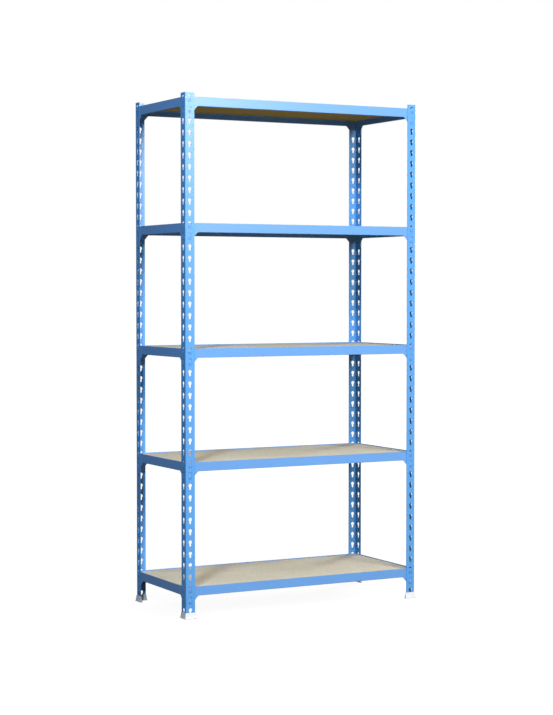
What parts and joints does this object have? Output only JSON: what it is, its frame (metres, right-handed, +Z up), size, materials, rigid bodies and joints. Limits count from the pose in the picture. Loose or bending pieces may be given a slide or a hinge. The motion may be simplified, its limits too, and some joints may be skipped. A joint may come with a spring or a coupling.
{
  "type": "boltless steel shelving",
  "caption": "Free-standing boltless storage shelving: punched angle posts on plastic feet carry hooked channel beams with loose chipboard panels.",
  "frame": {"origin": "middle of the footprint, on the floor under the feet", "axes": "+X along the width to the right, -Y to the front, +Z up"},
  "size_m": [0.9108, 0.4158, 1.7545],
  "materials": {
    "post_steel": "semi-gloss light blue powder coat on folded, punched steel sheet",
    "beam_steel": "semi-gloss light blue powder coat on folded steel sheet",
    "panel_chipboard": "raw matt chipboard with fine pressed chips and cut edges",
    "foot_plastic": "white moulded plastic, slightly satin"
  },
  "bodies": {
    "root": {"post_front_left": "post_steel", "post_front_right": "post_steel", "post_back_right": "post_steel", "post_back_left": "post_steel", "foot_front_left": "foot_plastic", "foot_front_right": "foot_plastic", "foot_back_right": "foot_plastic", "foot_back_left": "foot_plastic"},
    "shelf_1_frame": {"shelf_1_front_beam": "beam_steel", "shelf_1_right_beam": "beam_steel", "shelf_1_back_beam": "beam_steel", "shelf_1_left_beam": "beam_steel"},
    "shelf_1_board": {"shelf_1_panel": "panel_chipboard"},
    "shelf_2_frame": {"shelf_2_front_beam": "beam_steel", "shelf_2_right_beam": "beam_steel", "shelf_2_back_beam": "beam_steel", "shelf_2_left_beam": "beam_steel"},
    "shelf_2_board": {"shelf_2_panel": "panel_chipboard"},
    "shelf_3_frame": {"shelf_3_front_beam": "beam_steel", "shelf_3_right_beam": "beam_steel", "shelf_3_back_beam": "beam_steel", "shelf_3_left_beam": "beam_steel"},
    "shelf_3_board": {"shelf_3_panel": "panel_chipboard"},
    "shelf_4_frame": {"shelf_4_front_beam": "beam_steel", "shelf_4_right_beam": "beam_steel", "shelf_4_back_beam": "beam_steel", "shelf_4_left_beam": "beam_steel"},
    "shelf_4_board": {"shelf_4_panel": "panel_chipboard"},
    "shelf_5_frame": {"shelf_5_front_beam": "beam_steel", "shelf_5_right_beam": "beam_steel", "shelf_5_back_beam": "beam_steel", "shelf_5_left_beam": "beam_steel"},
    "shelf_5_board": {"shelf_5_panel": "panel_chipboard"}
  },
  "joints": [
    {"name": "shelf_1_unhook", "type": "slide", "parent": "root", "child": "shelf_1_frame", "axis": [0, 0, 1], "range_m": [0, 0.01215]},
    {"name": "shelf_1_panel_lift", "type": "slide", "parent": "shelf_1_frame", "child": "shelf_1_board", "axis": [0, 0, 1], "range_m": [0, 0.1]},
    {"name": "shelf_2_unhook", "type": "slide", "parent": "root", "child": "shelf_2_frame", "axis": [0, 0, 1], "range_m": [0, 0.01215]},
    {"name": "shelf_2_panel_lift", "type": "slide", "parent": "shelf_2_frame", "child": "shelf_2_board", "axis": [0, 0, 1], "range_m": [0, 0.1]},
    {"name": "shelf_3_unhook", "type": "slide", "parent": "root", "child": "shelf_3_frame", "axis": [0, 0, 1], "range_m": [0, 0.01215]},
    {"name": "shelf_3_panel_lift", "type": "slide", "parent": "shelf_3_frame", "child": "shelf_3_board", "axis": [0, 0, 1], "range_m": [0, 0.1]},
    {"name": "shelf_4_unhook", "type": "slide", "parent": "root", "child": "shelf_4_frame", "axis": [0, 0, 1], "range_m": [0, 0.01215]},
    {"name": "shelf_4_panel_lift", "type": "slide", "parent": "shelf_4_frame", "child": "shelf_4_board", "axis": [0, 0, 1], "range_m": [0, 0.1]},
    {"name": "shelf_5_unhook", "type": "slide", "parent": "root", "child": "shelf_5_frame", "axis": [0, 0, 1], "range_m": [0, 0.01215]},
    {"name": "shelf_5_panel_lift", "type": "slide", "parent": "shelf_5_frame", "child": "shelf_5_board", "axis": [0, 0, 1], "range_m": [0, 0.1]}
  ]
}
